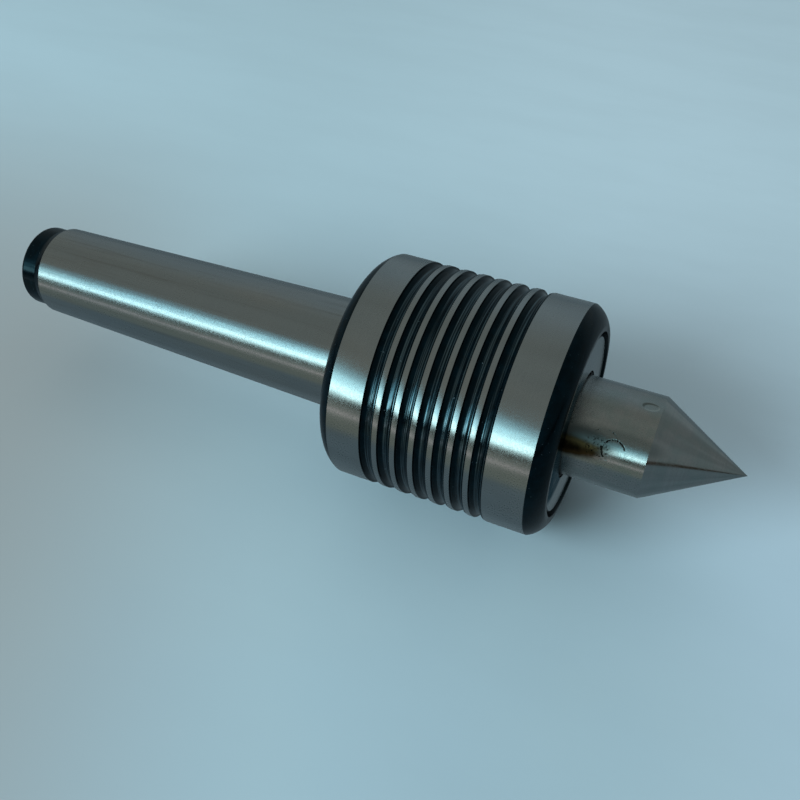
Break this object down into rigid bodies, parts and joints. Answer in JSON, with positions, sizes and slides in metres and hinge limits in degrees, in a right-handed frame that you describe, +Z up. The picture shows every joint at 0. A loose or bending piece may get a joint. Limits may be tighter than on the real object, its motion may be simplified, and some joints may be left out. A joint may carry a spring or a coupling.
{
  "type": "live center",
  "caption": "Revolving lathe centre: 60 degree point on a spindle in a grooved round housing with a tapered shank.",
  "frame": {"origin": "on the axis of rotation, in the gauge plane of the Morse taper where its diameter is 23.825 mm", "axes": "+X along the axis of rotation towards the point, +Z up, +Y completes a right-handed frame"},
  "size_m": [0.1641, 0.0474, 0.0474],
  "materials": {
    "housing_steel": "blacked steel with ground bright bands and a ground taper",
    "spindle_steel": "ground hardened steel, lightly stained",
    "cover_steel": "turned grey steel with a blacked bevel",
    "seal_rubber": "matt black",
    "bearing_steel": "ground bearing steel",
    "rolling_steel": "polished bearing steel",
    "cage_steel": "pressed steel, lightly oiled",
    "shield_steel": "pressed sheet steel",
    "spring_steel": "phosphated spring steel"
  },
  "bodies": {
    "housing": {"housing_with_shank": "housing_steel", "front_cover": "cover_steel", "dust_seal": "seal_rubber", "front_bearing_outer_ring": "bearing_steel", "front_bearing_shield_rear": "shield_steel", "front_bearing_shield_front": "shield_steel", "thrust_housing_washer": "bearing_steel", "needle_cup": "bearing_steel"},
    "spindle": {"spindle": "spindle_steel", "snap_ring": "spring_steel", "front_bearing_inner_ring": "bearing_steel", "thrust_shaft_washer": "bearing_steel"},
    "front_ball_set": {"front_bearing_cage": "cage_steel", "front_bearing_ball_01": "rolling_steel", "front_bearing_ball_02": "rolling_steel", "front_bearing_ball_03": "rolling_steel", "front_bearing_ball_04": "rolling_steel", "front_bearing_ball_05": "rolling_steel", "front_bearing_ball_06": "rolling_steel", "front_bearing_ball_07": "rolling_steel", "front_bearing_ball_08": "rolling_steel", "front_bearing_ball_09": "rolling_steel", "front_bearing_ball_10": "rolling_steel"},
    "thrust_ball_set": {"thrust_cage": "cage_steel", "thrust_ball_01": "rolling_steel", "thrust_ball_02": "rolling_steel", "thrust_ball_03": "rolling_steel", "thrust_ball_04": "rolling_steel", "thrust_ball_05": "rolling_steel", "thrust_ball_06": "rolling_steel", "thrust_ball_07": "rolling_steel", "thrust_ball_08": "rolling_steel", "thrust_ball_09": "rolling_steel", "thrust_ball_10": "rolling_steel"},
    "needle_set": {"needle_cage": "cage_steel", "needle_roller_01": "rolling_steel", "needle_roller_02": "rolling_steel", "needle_roller_03": "rolling_steel", "needle_roller_04": "rolling_steel", "needle_roller_05": "rolling_steel", "needle_roller_06": "rolling_steel", "needle_roller_07": "rolling_steel", "needle_roller_08": "rolling_steel", "needle_roller_09": "rolling_steel", "needle_roller_10": "rolling_steel", "needle_roller_11": "rolling_steel", "needle_roller_12": "rolling_steel"}
  },
  "joints": [
    {"name": "spindle_spin", "type": "hinge", "parent": "housing", "child": "spindle", "pos_m": [0, 0, 0], "axis": [1, 0, 0], "continuous": true},
    {"name": "front_cage_orbit", "type": "hinge", "parent": "housing", "child": "front_ball_set", "pos_m": [0.041, 0, 0], "axis": [1, 0, 0], "continuous": true},
    {"name": "thrust_cage_orbit", "type": "hinge", "parent": "housing", "child": "thrust_ball_set", "pos_m": [0.0272, 0, 0], "axis": [1, 0, 0], "continuous": true},
    {"name": "needle_cage_orbit", "type": "hinge", "parent": "housing", "child": "needle_set", "pos_m": [0.0144, 0, 0], "axis": [1, 0, 0], "continuous": true}
  ],
  "couplings": [
    {"joint": "front_cage_orbit", "follows": "spindle_spin", "ratio": 0.4088},
    {"joint": "thrust_cage_orbit", "follows": "spindle_spin", "ratio": 0.5},
    {"joint": "needle_cage_orbit", "follows": "spindle_spin", "ratio": 0.4403}
  ]
}
